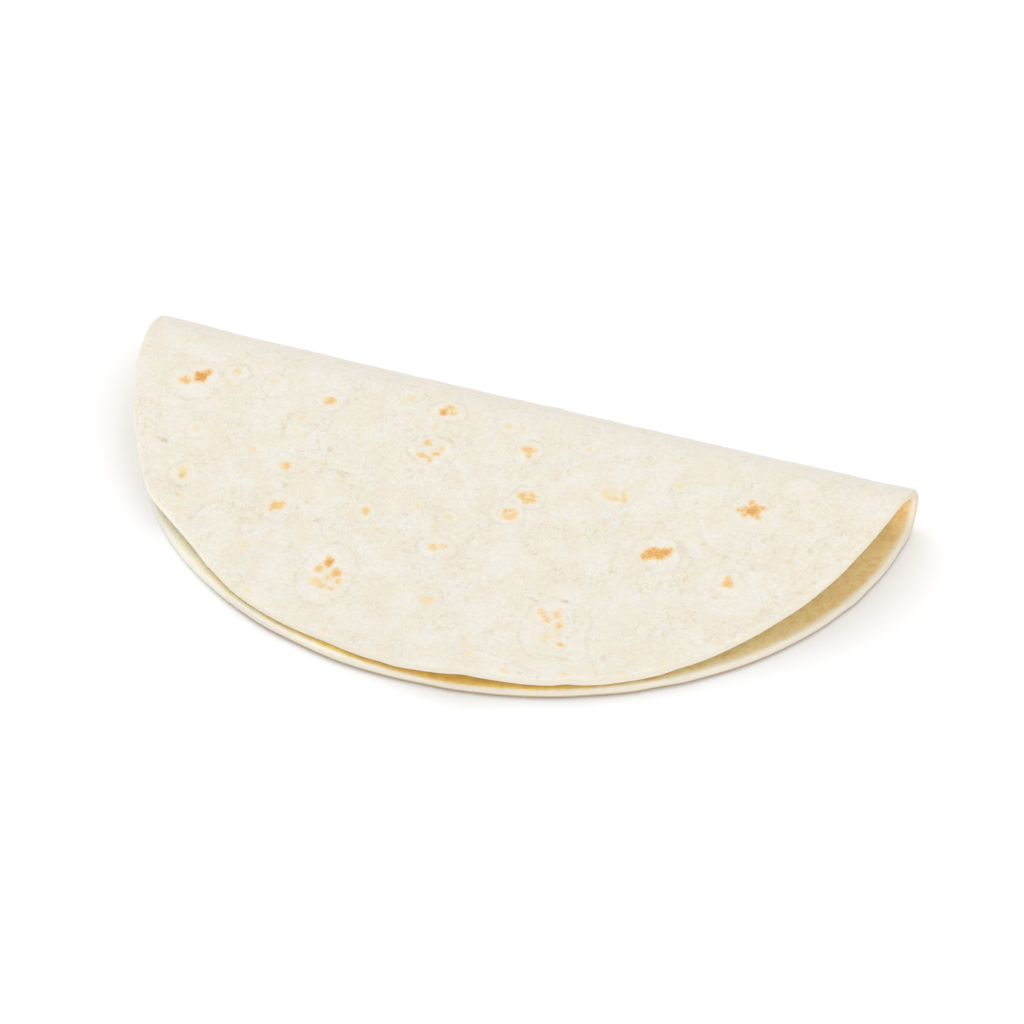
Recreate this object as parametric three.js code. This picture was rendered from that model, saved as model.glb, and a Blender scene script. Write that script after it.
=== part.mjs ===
// A soft flour tortilla: one thin round flatbread, folded once and lying on its lower half.
// Millimetres, +Z up. The fold runs along X at the back, and both halves reach forward, to -Y.
// The fold stays springy, so the upper half rises from it and comes down to the lower half
// at the front, and both ends of the fold stand open as narrow mouths.
// A place in the flat sheet is (x, s): x along the fold, and s away from it, positive on the
// upper half. Angles round the rim are counted from the right end of the fold.
import * as THREE from 'three';

const { clamp, degToRad, lerp, radToDeg } = THREE.MathUtils;

// ---- the flat round ----
const DISC_RADIUS = 100;
const THICKNESS = 2;
// how far the pressed outline strays from a circle: [waves round the rim, height, degrees of a crest]
const OUTLINE_WAVES = [
  [2, 0.95, 172],
  [3, 0.45, 73],
  [4, 0.4, 66],
];

// ---- the fold: a pair is its value at the left end and at the right end ----
const FOLD_RADIUS = 5.2; // of the middle of the sheet, where it turns over
const FOLD_HEIGHT = [7.2, 6.8]; // of the middle of that turn above the table
const RISE = [3.6, 4.3]; // what the upper half still gains after the turn
const RISE_LENGTH = 20;
const LANDING_LENGTH = 12; // in which the lower half comes down to the table

// ---- the upper half's rim ----
const RIM_HEIGHT = 3.25; // of its middle above the table: all but resting on the lower half
// where it lifts: [extra height, degrees round the rim, half width in degrees]
const RIM_LIFTS = [
  [0.85, 14, 20],
  [0.45, 66, 3],
  [2.1, 81, 8],
  [2.1, 152, 22],
];

// ---- how finely the surfaces are faceted ----
const TURN_ROWS = 7;
const HALF_ROWS = 22;
const COLUMNS = 22;
const EDGE_STEPS = 4;
const PATH_STEP = 0.25;
const SLOPE_REACH = 0.2; // to each side, where a direction on the sheet is measured

const CRUMB_COLOUR = 0xefeadd;
const HALF_THICKNESS = THICKNESS / 2;
const QUARTER_TURN = (FOLD_RADIUS * Math.PI) / 2;

const alongFold = ([left, right], x) => lerp(left, right, clamp((x / DISC_RADIUS + 1) / 2, 0, 1));

// A soft climb from 0 to 1 as t goes from 0 to 1, level at both ends.
function climb(t) {
  const u = Math.min(t, 1);
  return u - Math.sin(2 * Math.PI * u) / (2 * Math.PI);
}

function outlineRadius(angle) {
  const wave = ([count, height, crest]) => height * Math.cos(count * (angle - degToRad(crest)));
  return OUTLINE_WAVES.reduce((radius, entry) => radius + wave(entry), DISC_RADIUS);
}

// Height of the middle of the upper half's rim, at the front of the section at x.
function rimHeight(x) {
  const around = radToDeg(Math.acos(clamp(x / DISC_RADIUS, -1, 1)));
  const lift = ([height, centre, width]) => height * Math.exp(-(((around - centre) / width) ** 2));
  return RIM_LIFTS.reduce((height, entry) => height + lift(entry), RIM_HEIGHT);
}

// The height of the section at x as a function of the distance along it from the back of the
// fold: a quarter turn up, a last rise and the long fall to the rim, or a quarter turn down and
// the landing on the table.
function sectionHeight(x, isUpper) {
  const middle = alongFold(FOLD_HEIGHT, x);
  const turn = (path) => FOLD_RADIUS * Math.sin(Math.min(path, QUARTER_TURN) / FOLD_RADIUS);
  if (!isUpper) {
    const landing = middle - FOLD_RADIUS - HALF_THICKNESS;
    return (path) => middle - turn(path) - landing * climb(path / LANDING_LENGTH);
  }
  const rise = alongFold(RISE, x);
  const fall = middle + FOLD_RADIUS + rise - rimHeight(x);
  return (path) => middle + turn(path) + rise * climb(path / RISE_LENGTH) - fall * climb(path / DISC_RADIUS);
}

// Where (x, s) of the flat sheet lies once folded. The path is taken in short steps that keep
// their length, so the sheet bends without stretching.
function foldedPoint(x, s) {
  const height = sectionHeight(x, s >= 0);
  const steps = Math.max(1, Math.ceil(Math.abs(s) / PATH_STEP));
  const step = Math.abs(s) / steps;
  let y = 0;
  for (let i = 0; i < steps; i++) {
    const gain = height((i + 1) * step) - height(i * step);
    y -= Math.sqrt(Math.max(step * step - gain * gain, 0));
  }
  return new THREE.Vector3(x, y, height(Math.abs(s)));
}

// Unit normal of the folded sheet, out of its outer face.
function outerNormal(x, s) {
  const along = foldedPoint(x + SLOPE_REACH, s).sub(foldedPoint(x - SLOPE_REACH, s));
  const across = foldedPoint(x, s + SLOPE_REACH).sub(foldedPoint(x, s - SLOPE_REACH));
  return across.cross(along).normalize();
}

// [x, s] of the rim at an angle, drawn in from the outline by an inset.
function flatRim(angle, inset) {
  const radius = outlineRadius(angle) - inset;
  return [radius * Math.cos(angle), radius * Math.sin(angle)];
}

// A point on the skin over (x, s): side 1 is the outer face and -1 the inner one.
function skinPoint([x, s], side) {
  return foldedPoint(x, s).addScaledVector(outerNormal(x, s), side * HALF_THICKNESS);
}

// A point on the half-round edge, turned from the outer face (0) to the inner one (PI).
function edgePoint(angle, turned) {
  const root = flatRim(angle, HALF_THICKNESS);
  const further = foldedPoint(...flatRim(angle, HALF_THICKNESS - SLOPE_REACH));
  const nearer = foldedPoint(...flatRim(angle, HALF_THICKNESS + SLOPE_REACH));
  const outward = further.sub(nearer).normalize();
  return foldedPoint(...root)
    .addScaledVector(outerNormal(...root), HALF_THICKNESS * Math.cos(turned))
    .addScaledVector(outward, HALF_THICKNESS * Math.sin(turned));
}

// The angles at which rows that run along the fold meet the right half of the rim, from the
// front of the lower half to the front of the upper one, closest together round the turn.
function rowAngles() {
  const turnAngle = QUARTER_TURN / DISC_RADIUS;
  const upper = [];
  for (let i = 1; i <= TURN_ROWS; i++) upper.push((turnAngle * i) / TURN_ROWS);
  for (let i = 1; i <= HALF_ROWS; i++) upper.push(lerp(turnAngle, Math.PI / 2, i / HALF_ROWS));
  return [...upper.map((angle) => -angle).reverse(), 0, ...upper];
}

// The whole tortilla as one closed surface: an outer and an inner skin on the same rows, and
// the edge that joins them. The first and the last row are single points at the front.
function tortillaGeometry() {
  const angles = rowAngles();
  const lastRow = angles.length - 1;
  const positions = [];
  const indices = [];
  const addVertex = ({ x, y, z }) => positions.push(x, y, z) / 3 - 1;
  const addTriangle = (a, b, c) => {
    if (a !== b && b !== c && c !== a) indices.push(a, b, c);
  };
  const addQuad = (a, b, c, d) => {
    addTriangle(a, b, c);
    addTriangle(a, c, d);
  };

  const skinRow = (row, side) => {
    const [rightX, rightS] = flatRim(angles[row], HALF_THICKNESS);
    const [leftX, leftS] = flatRim(Math.PI - angles[row], HALF_THICKNESS);
    if (row === 0 || row === lastRow) {
      return Array(COLUMNS + 1).fill(addVertex(skinPoint([rightX, rightS], side)));
    }
    return Array.from({ length: COLUMNS + 1 }, (_, column) => {
      const share = column / COLUMNS;
      return addVertex(skinPoint([lerp(leftX, rightX, share), lerp(leftS, rightS, share)], side));
    });
  };
  const outer = angles.map((_, row) => skinRow(row, 1));
  const inner = angles.map((_, row) => skinRow(row, -1));
  for (let row = 0; row < lastRow; row++) {
    for (let i = 0; i < COLUMNS; i++) {
      addQuad(outer[row][i], outer[row + 1][i], outer[row + 1][i + 1], outer[row][i + 1]);
      addQuad(inner[row][i], inner[row][i + 1], inner[row + 1][i + 1], inner[row + 1][i]);
    }
  }

  // strings of vertices round the edge, up the right end of every row and down the left end
  const edgeString = (row, angle, column) => {
    const string = [outer[row][column]];
    for (let k = 1; k < EDGE_STEPS; k++) {
      string.push(addVertex(edgePoint(angle, (Math.PI * k) / EDGE_STEPS)));
    }
    return [...string, inner[row][column]];
  };
  const rightSide = angles.map((angle, row) => edgeString(row, angle, COLUMNS));
  const leftSide = angles.slice(1, lastRow).map((angle, i) => edgeString(i + 1, Math.PI - angle, 0));
  const edge = [...rightSide, ...leftSide.reverse()];
  edge.forEach((string, i) => {
    const next = edge[(i + 1) % edge.length];
    for (let k = 0; k < EDGE_STEPS; k++) addQuad(string[k], next[k], next[k + 1], string[k + 1]);
  });

  const geometry = new THREE.BufferGeometry();
  geometry.setAttribute('position', new THREE.Float32BufferAttribute(positions, 3));
  geometry.setIndex(indices);
  geometry.computeVertexNormals();
  return geometry;
}

// Stands the shape on Z = 0 with the middle of its outline over the origin.
function centreOnTable(geometry) {
  geometry.computeBoundingBox();
  const { min, max } = geometry.boundingBox;
  return geometry.translate(-(min.x + max.x) / 2, -(min.y + max.y) / 2, -min.z);
}

const tortilla = new THREE.Mesh(
  centreOnTable(tortillaGeometry()),
  new THREE.MeshStandardMaterial({ color: CRUMB_COLOUR, roughness: 0.85, metalness: 0 }),
);
tortilla.name = 'tortilla';

const wrap = new THREE.Group();
wrap.name = 'folded_tortilla_wrap';
wrap.add(tortilla);

export default wrap;
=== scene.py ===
"""A soft flour tortilla, folded once in half and lying on its lower half.

The bread is one sheet. Every place on it has flat-sheet coordinates in millimetres: x along the
fold, s away from the fold (positive on the upper half, negative on the lower half) and h through
the thickness. The folded shape, the low blisters and the toasted marks are all worked out from
them, so a pattern stays with the dough wherever the sheet bends.
"""

import math

import bpy
import numpy as np
from mathutils import Matrix, Vector


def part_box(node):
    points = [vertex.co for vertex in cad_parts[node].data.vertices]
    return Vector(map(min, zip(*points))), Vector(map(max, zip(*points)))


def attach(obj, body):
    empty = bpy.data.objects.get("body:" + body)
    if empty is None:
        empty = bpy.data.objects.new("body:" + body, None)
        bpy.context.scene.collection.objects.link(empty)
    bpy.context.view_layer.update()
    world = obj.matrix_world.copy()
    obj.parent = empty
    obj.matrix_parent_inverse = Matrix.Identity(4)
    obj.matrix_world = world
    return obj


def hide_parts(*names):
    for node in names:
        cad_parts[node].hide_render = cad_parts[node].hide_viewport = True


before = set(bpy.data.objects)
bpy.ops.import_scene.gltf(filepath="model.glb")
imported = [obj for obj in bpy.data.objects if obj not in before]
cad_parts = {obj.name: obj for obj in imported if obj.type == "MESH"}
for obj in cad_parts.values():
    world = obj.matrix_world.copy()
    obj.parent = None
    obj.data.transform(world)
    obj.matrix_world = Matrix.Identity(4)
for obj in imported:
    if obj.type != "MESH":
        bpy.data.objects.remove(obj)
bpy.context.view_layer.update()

MM = 0.001

# ---- the flat round, in millimetres ----
DISC_RADIUS = 100.0
THICKNESS = 2.0
HALF_THICKNESS = THICKNESS / 2
# how far the pressed outline strays from a circle: (waves round the rim, height, degrees of a crest)
OUTLINE_WAVES = [(2, 0.95, 172), (3, 0.45, 73), (4, 0.4, 66)]
# where the upper half stops short of that outline, or reaches past it where below 0: (millimetres,
# degrees round the rim, half width in degrees)
RIM_SHIFTS = [
    (-0.4, 26, 6),
    (0.35, 41, 8),
    (1.05, 75, 11),
    (1.4, 99, 10),
    (1.25, 126.5, 8.5),
    (0.5, 133, 7),
    (-1.3, 140, 4.5),
]
# how the rim varies, read round a circle of this radius: (amount, wavelength, seed), where the
# amount is millimetres of its outline and then a share of its thickness
RIM_CIRCLE = 60.0
RIM_RAGGEDNESS = (0.1, 7, 51)
RIM_THINNING = (0.1, 14, 52)

# ---- the fold: a pair is its value at the left end and at the right end ----
FOLD_RADIUS = 5.2
QUARTER_TURN = FOLD_RADIUS * math.pi / 2
FOLD_HEIGHT = (7.2, 6.8)
RISE = (3.6, 4.3)
RISE_LENGTH = 20.0
LANDING_LENGTH = 12.0
RIM_HEIGHT = 3.25
# where the upper half's rim lifts: (extra height, degrees round the rim, half width in degrees)
RIM_LIFTS = [(0.85, 14, 20), (0.45, 66, 3), (2.1, 81, 8), (2.1, 152, 22)]
# short kinks in that rim, which fade out over a few millimetres, and a place where it is pressed
# down: the same three values
RIM_KINKS = [
    (0.35, 51, 1.8),
    (0.4, 66.2, 1.3),
    (0.4, 80, 1.6),
    (0.35, 91.7, 1.3),
    (0.2, 118, 2.5),
    (-0.9, 134, 8),
]
KINK_REACH = 6.0
# how far the crest of the fold has sunk: least at the left end, most at CREST_MIDDLE
CREST_SAG = 0.8
CREST_MIDDLE = 15.0
CREST_HALF_LENGTH = 108.0
CREST_SAG_REACH = (10.0, 36.0)  # at its full depth by the first distance, and gone by the second

# ---- how finely the sheet is meshed ----
OUTER_CELLS = 264  # along each side of the grid that is bent into the outer face
INNER_CELLS = OUTER_CELLS // 2
EDGE_STEPS = 5  # from the outer face round the edge to the inner one
SLOPE_REACH = 0.2  # to each side, where a direction on the sheet is measured
# the table of how far the sheet reaches: its step away from the fold, and how far it goes
TABLE_STEP = 0.05
TABLE_REACH = 105.0
TABLE_MARGIN = 1.001  # in entries: keeps a place just inside the table's last one

# ---- what baking left on the upper half's outer face; s is counted from a line this far behind
# the fold's middle in the lists below ----
LISTS_START = 0.8

# ---- low blisters there: (x, s, width, length, height) ----
BLISTERS = [
    # the left end of the fold
    (-80, 31, 14.5, 12.5, 0.34),
    (-70.7, 25.7, 6.6, 8.2, 0.2),
    (-59.6, 25.8, 6.8, 8.4, 0.22),
    (-44.7, 26.7, 8, 7.8, 0.18),
    (-49.3, 36.8, 6.4, 8.9, 0.2),
    # down the left side
    (-73, 45.5, 6, 5.5, 0.14),
    (-57.2, 46.9, 4.6, 4.8, 0.1),
    (-47.2, 49.3, 5.2, 5.4, 0.12),
    (-70.5, 59, 7, 8, 0.2),
    (-44.4, 61.4, 9.5, 9.4, 0.16),
    (-25, 77.5, 13.6, 19.4, 0.36),
    # the middle
    (-26.1, 17.8, 6.2, 8, 0.15),
    (-15.2, 21.1, 10.2, 7.2, 0.2),
    (-14.1, 35, 11.6, 9.6, 0.26),
    (-23.4, 56.7, 5.4, 6, 0.12),
    (-11.5, 51.6, 4.6, 4, 0.08),
    (-3.2, 52.8, 5.6, 4.4, 0.1),
    (-3, 62.3, 10.3, 7, 0.18),
    (1.7, 79, 7, 8.4, 0.15),
    (0.8, 21.5, 6, 5.2, 0.12),
    (8.6, 28.9, 7.2, 8.6, 0.18),
    (13.7, 42.7, 8, 6.3, 0.2),
    (10.1, 48.4, 8.8, 7.2, 0.18),
    # the right side
    (22.2, 23.6, 5, 4.2, 0.1),
    (32.3, 35.9, 11, 8, 0.14),
    (30.3, 77.7, 12.2, 18.5, 0.28),
    (46.9, 28.7, 4.5, 4, 0.12),
    (49.1, 48.9, 14.5, 9.3, 0.18),
    (65.8, 31, 10.5, 10, 0.08),
    (67, 52.7, 8, 7.4, 0.12),
    (74.8, 20.5, 9.8, 8.2, 0.16),
]

# ---- toasted marks there: (x, s, width, length, how brown from 0 to 1, how hollow) ----
TOASTED = [
    # the left end of the fold: the darkest, its neighbour, and four pale ones
    (-78.9, 29.4, 3.8, 4.2, 0.97, 0),
    (-77.8, 27.4, 2.2, 2.5, 0.9, 0),
    (-82.1, 31.9, 3.4, 3, 0.62, 0),
    (-80.6, 30.6, 2, 1.4, 0.3, 0),
    (-71, 24.3, 2.1, 2.6, 0.34, 0),
    (-71.3, 29, 1.5, 1.8, 0.24, 0),
    (-60.3, 24.7, 2.3, 2.1, 0.24, 0),
    (-48.9, 34.3, 2.1, 2, 0.22, 0),
    (-48.9, 38.7, 1.4, 1.6, 0.2, 0),
    # down the left side
    (-44.6, 26.9, 2.9, 3.2, 0.62, 0),
    (-73, 45.4, 1.7, 2.2, 0.24, 0),
    (-57.2, 46.9, 2, 2.2, 0.3, 0),
    (-47.2, 49.3, 2.7, 2.9, 0.55, 0),
    (-71.2, 57.8, 2.8, 2.4, 0.26, 0),
    (-70.7, 59.4, 2, 2.8, 0.42, 0),
    (-69, 65.1, 2.2, 1, 0.22, 0),
    (-67.7, 69.1, 1.3, 1.7, 0.22, 0),
    (-69.8, 72.8, 1.7, 1.4, 0.3, 0),
    (-45.5, 61.3, 2.5, 3.2, 0.6, 0),
    (-44, 60.7, 2.6, 3.4, 0.52, 0),
    (-23.4, 56.5, 2.5, 2.8, 0.5, 0),
    (-18.6, 60.4, 2.6, 1.3, 0.2, 0),
    (-47.6, 74.9, 2.2, 1.9, 0.26, 0),
    # below the middle of the fold
    (-25.8, 19.7, 2.8, 2.2, 0.25, 0),
    (-16.3, 21.8, 2.5, 2.5, 0.85, 0),
    (-15.2, 19.5, 3.3, 1.8, 0.72, 0),
    (-13.9, 21.4, 2.5, 1.5, 0.6, 0),
    (-16.2, 27.6, 1.6, 1.6, 0.32, 0),
    (-16, 33, 2.3, 2.3, 0.66, 0),
    (-15.8, 37, 3.2, 1.5, 0.76, 0),
    (-12.8, 35.7, 2.6, 1.3, 0.66, 0),
    (-12, 33.7, 1.7, 2.2, 0.36, 0),
    (-13.6, 37.9, 1, 1.5, 0.8, 0),
    (0.7, 21.6, 2.1, 1.5, 0.4, 0),
    (8.2, 27.9, 4, 2.7, 0.52, 0),
    (9.1, 29.9, 1.5, 2.6, 0.58, 0),
    (22.2, 23.5, 2.1, 1.4, 0.22, 0),
    (13.4, 42.5, 4.7, 3.6, 0.62, 1),
    (10.8, 48.6, 4.3, 3.5, 0.55, 1),
    (9.7, 48.3, 1.6, 2, 0.4, 0),
    (-11.5, 51.6, 2.1, 1.5, 0.25, 0),
    (-3.2, 52.8, 2.6, 1.5, 0.28, 0),
    (-3.7, 62, 2.9, 2.4, 0.42, 0),
    (-1.9, 61.2, 2.5, 1.7, 0.28, 0),
    (1.1, 78.2, 3.7, 3.2, 0.24, 0),
    # the large blister at the front left
    (-25.9, 73.6, 2.8, 3.5, 0.85, 0),
    (-27.5, 76.3, 2.3, 3, 0.55, 0),
    (-22.9, 76.5, 2.8, 3, 0.75, 0),
    (-21.5, 78.9, 1.6, 2.3, 0.55, 0),
    (-26.9, 80.3, 3.2, 2.6, 0.34, 0),
    (-24.5, 78.2, 1.4, 2.4, 0.6, 0),
    (-24.4, 81.4, 2.5, 1.6, 0.75, 0),
    (-22.3, 81.5, 2.2, 1.4, 0.7, 0),
    # the large blister at the front
    (27.4, 73.3, 1.7, 2.1, 0.45, 0),
    (28.4, 74.1, 1.7, 1.9, 0.5, 0),
    (29.5, 75, 2, 2.1, 0.62, 0),
    (31.2, 73.1, 2.1, 2.2, 0.48, 0),
    (31.2, 70.9, 1.5, 1, 0.25, 0),
    (32.8, 76, 2.1, 2.5, 0.5, 0),
    (31.1, 80, 2.1, 2.1, 0.26, 0),
    (30.9, 81.5, 1, 1.3, 0.3, 0),
    (33.4, 79.3, 1.3, 1.3, 0.2, 0),
    (34.9, 81.1, 2.2, 1.6, 0.66, 0),
    # the right side: a spiky star
    (65.7, 30.7, 4.4, 4, 0.85, 0),
    (65, 28.3, 1.7, 2.2, 0.75, 0),
    (68, 29.2, 2.6, 1.7, 0.8, 0),
    (67.6, 32.3, 1.7, 2.1, 0.75, 0),
    (63.2, 31.4, 2.5, 1.6, 0.75, 0),
    (64.4, 32.5, 1.7, 1.8, 0.75, 0),
    # a solid bar, a triangle and a broken arc
    (47.8, 49.1, 6, 3.4, 0.83, 0),
    (50, 48.4, 3.2, 3.4, 0.88, 0),
    (45.6, 50.6, 2.9, 2.2, 0.8, 0),
    (66.6, 52.6, 3.2, 2.6, 0.6, 0),
    (66.2, 51.3, 1.6, 2, 0.6, 0),
    (32.8, 36.6, 6.4, 1.5, 0.3, 0),
    (30.5, 35.5, 1.6, 2, 0.28, 0),
    (32.4, 34.6, 1.5, 2, 0.28, 0),
    (35, 34.7, 1.7, 2.6, 0.36, 0),
    (35.7, 36.3, 2.2, 1.9, 0.42, 0),
    (46.7, 28.5, 2.6, 1.4, 0.24, 0),
    (57.8, 43.3, 2, 1.5, 0.24, 0),
    (77.1, 21.5, 3, 1.7, 0.12, 0),
    # specks along the front rim
    (-40.8, 88.2, 1.8, 1.5, 0.2, 0),
    (-18.4, 94.5, 2.1, 1.1, 0.36, 0),
    (-3.4, 96.6, 1.9, 1.1, 0.22, 0),
    (14.6, 88.8, 2, 1.9, 0.16, 0),
    (16.3, 91.9, 2.4, 1.3, 0.26, 0),
    (25.8, 94, 2.3, 1.2, 0.34, 0),
    (39, 89.9, 2.2, 1.1, 0.28, 0),
    (51.1, 84.7, 1.9, 1.1, 0.3, 0),
    (58.6, 78.8, 1.9, 1.1, 0.22, 0),
    (69.2, 69.3, 1.5, 1.1, 0.24, 0),
]

# ---- darker specks there, browned pores and scorched crumbs: (x, s, width, length, strength) ----
SPECKS = [
    (-42.3, 32.6, 1, 1, 0.35),
    (-40.8, 36.3, 1, 1.1, 0.5),
    (-38.7, 41.5, 1.2, 1.2, 0.8),
    (-79.2, 51.1, 1.8, 1.5, 1.0),
    (-81.5, 50.8, 3, 0.9, 0.4),
    (-45.1, 54.8, 1.3, 1.3, 0.8),
    (-70.6, 59.9, 1.2, 1.3, 1.0),
    (-69.3, 65.1, 1.4, 0.9, 0.6),
    (-33.2, 47.7, 3.2, 1.8, 0.45),
    (-29, 50.3, 3.1, 1.2, 0.4),
    (-33.5, 62.2, 1.9, 1.3, 0.5),
    (-38.1, 57.9, 1.2, 1.4, 0.5),
    (-33.9, 14, 1.6, 2.2, 0.3),
    (-27.4, 14.6, 2.2, 2, 0.35),
    (-14.5, 41.8, 2.8, 1.2, 0.35),
    (-0.9, 61.1, 0.9, 0.9, 0.8),
    (-18.4, 90.4, 1.6, 1.7, 0.35),
    (8.5, 14.5, 1.3, 2, 0.3),
    (24.6, 70.6, 3.2, 1.2, 0.45),
    (31.8, 68.4, 1.8, 1, 0.85),
    (37.1, 85.4, 4.4, 1.2, 0.4),
    (45.5, 81.8, 1.5, 2.7, 0.45),
    (46.6, 80.3, 0.9, 1.6, 0.3),
    (39.1, 57.1, 0.9, 0.9, 0.8),
    (51.4, 29.5, 0.9, 1.3, 0.45),
    (52.5, 32.1, 0.8, 1.6, 0.5),
    (56.8, 57.7, 1, 2.4, 0.4),
    (64.7, 57, 1.6, 1.2, 0.4),
    (57.8, 43.4, 1.2, 1, 0.5),
    (73.3, 26.2, 2, 0.9, 0.4),
    (82.2, 38.3, 1.1, 2.1, 0.55),
    (85.7, 47.1, 1.1, 1, 0.7),
    (89.4, 39, 0.9, 0.9, 0.4),
]

# ---- thin creases there: (strength, (x, s), (x, s), ...) ----
CREASES = [
    (0.6, (-64.1, 72.2), (-61, 66.5), (-57.5, 62)),
    (0.35, (-54.6, 63.9), (-52, 67), (-50.6, 71.1)),
    (0.4, (-32.1, 22.8), (-30.6, 27), (-28.2, 32.5)),
    (0.5, (38.2, 70.2), (40.6, 76.5), (42, 81), (44.3, 86.3)),
    (0.9, (52.6, 45.8), (54.6, 48.7), (53.9, 51.6)),
    (0.4, (68.2, 15.8), (74.5, 15), (79.3, 18), (80.4, 21)),
    (0.3, (52.4, 33.5), (56.1, 41.3), (61.6, 46.3)),
    (0.5, (83.8, 36.2), (85.4, 34.4), (88.3, 30.7)),
]
CREASE_WIDTH = 0.9
CREASE_DEPTH = 0.1

# ---- how uneven the dough is: (height, wavelength, seed) for each set of waves ----
WAVE_COUNT = 28
OUTER_WAVES = [(0.09, 26, 41), (0.07, 9, 42), (0.035, 4, 43)]
INNER_WAVES = [(0.1, 9, 44), (0.07, 3.5, 45)]
# how far in from the rim the relief of each face has its full height
OUTER_FADE = 2.5
INNER_FADE = 4.0
# how far outlines and lines stray from their plain shape: (distance, wavelength, seed)
BLISTER_STRAY = (0.5, 6, 46)
CREASE_STRAY = (1.0, 10, 48)

# ---- the marks and blisters in places that the lists leave bare ----
BARE_BELOW = -4.0  # the lists end at this s
RIM_MARGIN = 5.0  # kept free at the rim
FEW_LARGE = 2.5  # the higher above 1, the fewer are large

# ---- the camera, at the photograph's angle ----
CAMERA_LENS = 100.0
CAMERA_SENSOR = 36.0
CAMERA_AZIMUTH = 20.15
CAMERA_ELEVATION = 40.6
CAMERA_DISTANCE = 722.6
# how far it stands to the right of the line to the fold's middle, and how far above it
CAMERA_ACROSS = -4.47
CAMERA_UP = -19.69


# ======================================================================================
# the folded sheet
# ======================================================================================

def soft_climb(t):
    """From 0 to 1 as t goes from 0 to 1, level at both ends: a ramp less one wave of a sine."""
    share = np.clip(t, 0, 1)
    return share - np.sin(2 * np.pi * share) / (2 * np.pi)


def soft_step(value, start, end):
    """From 0 to 1 as the value goes from start to end: a cubic, level at both ends."""
    share = np.clip((value - start) / (end - start), 0, 1)
    return share * share * (3 - 2 * share)


def bell(value, centre, width):
    """1 at the centre, falling to both sides as a Gaussian."""
    return np.exp(-(((value - centre) / width) ** 2))


def along_fold(ends, x):
    """A value that changes evenly from the fold's left end to its right end."""
    left, right = ends
    return left + (right - left) * np.clip((x / DISC_RADIUS + 1) / 2, 0, 1)


def outline_radius(angle):
    """The radius of the flat round: a circle plus a few cosine waves, less a bell curve for each
    place where the upper half stops short."""
    waves = [
        height * np.cos(count * (angle - math.radians(crest))) for count, height, crest in OUTLINE_WAVES
    ]
    shifts = [depth * bell(np.degrees(angle), centre, width) for depth, centre, width in RIM_SHIFTS]
    return DISC_RADIUS + sum(waves) - sum(shifts)


def rim_height(x):
    """The height of the upper half's rim: a constant plus a bell curve for each lift."""
    around = np.degrees(np.arccos(np.clip(x / DISC_RADIUS, -1, 1)))
    return RIM_HEIGHT + sum(height * bell(around, centre, width) for height, centre, width in RIM_LIFTS)


def rim_kinks(x, s):
    """What the short kinks add: a bell curve round the rim times a bell curve in from it."""
    angle = np.arctan2(s, x)
    inset = outline_radius(angle) - np.hypot(x, s)
    lift = sum(height * bell(np.degrees(angle), centre, width) for height, centre, width in RIM_KINKS)
    return lift * bell(inset, 0, KINK_REACH)


def crest_sag(x, s):
    """How far the fold's crest has sunk: a flat-topped curve along the fold times one that
    rises and dies away across it."""
    full, gone = CREST_SAG_REACH
    along = np.clip(1 - ((x - CREST_MIDDLE) / CREST_HALF_LENGTH) ** 4, 0, 1)
    return CREST_SAG * along * soft_step(s, 0, full) * (1 - soft_step(s, full, gone))


def section_height(x, s):
    """The height of the middle of the sheet over the table, by the distance from the fold: a
    quarter turn up, a last rise and the long fall to the rim on the upper half, or a quarter turn
    down and the landing on the table on the lower half."""
    path = np.abs(s)
    middle = along_fold(FOLD_HEIGHT, x)
    turn = FOLD_RADIUS * np.sin(np.minimum(path, QUARTER_TURN) / FOLD_RADIUS)
    landing = middle - FOLD_RADIUS - HALF_THICKNESS
    lower = middle - turn - landing * soft_climb(path / LANDING_LENGTH)
    rise = along_fold(RISE, x)
    fall = middle + FOLD_RADIUS + rise - rim_height(x)
    upper = middle + turn + rise * soft_climb(path / RISE_LENGTH) - fall * soft_climb(path / DISC_RADIUS)
    return np.where(s >= 0, upper + rim_kinks(x, s) - crest_sag(x, s), lower)


def reach_table():
    """How far in front of the fold the sheet has come at each (x, s): the sum of short steps that
    keep their length while the height changes, so the sheet bends without stretching."""
    count = round(TABLE_REACH / TABLE_STEP)
    x = np.arange(-TABLE_REACH, TABLE_REACH + 1)
    s = np.arange(-count, count + 1) * TABLE_STEP
    gains = np.diff(section_height(x[:, None], s[None, :]), axis=1)
    steps = np.sqrt(np.maximum(TABLE_STEP**2 - gains**2, 0))
    reach = np.concatenate([np.zeros((len(x), 1)), np.cumsum(steps, axis=1)], axis=1)
    return np.abs(reach - reach[:, count : count + 1])


REACH = reach_table()


def folded(x, s):
    """The middle of the sheet at (x, s) once folded: x stays, y is the reach read from the table
    between its four nearest entries, and z is the section's height."""
    column = np.clip(x + TABLE_REACH, 0, REACH.shape[0] - TABLE_MARGIN)
    row = np.clip((s + TABLE_REACH) / TABLE_STEP, 0, REACH.shape[1] - TABLE_MARGIN)
    i = column.astype(int)
    j = row.astype(int)
    a = column - i
    b = row - j
    near = REACH[i, j] * (1 - b) + REACH[i, j + 1] * b
    far = REACH[i + 1, j] * (1 - b) + REACH[i + 1, j + 1] * b
    return np.stack([x, -(near * (1 - a) + far * a), section_height(x, s)], axis=-1)


def unit(vectors):
    """Each vector divided by its own length."""
    return vectors / np.linalg.norm(vectors, axis=-1, keepdims=True)


def outward_normal(x, s):
    """Out of the outer face: across the slope along s and the slope along x."""
    along = folded(x + SLOPE_REACH, s) - folded(x - SLOPE_REACH, s)
    across = folded(x, s + SLOPE_REACH) - folded(x, s - SLOPE_REACH)
    return unit(np.cross(across, along))


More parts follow.
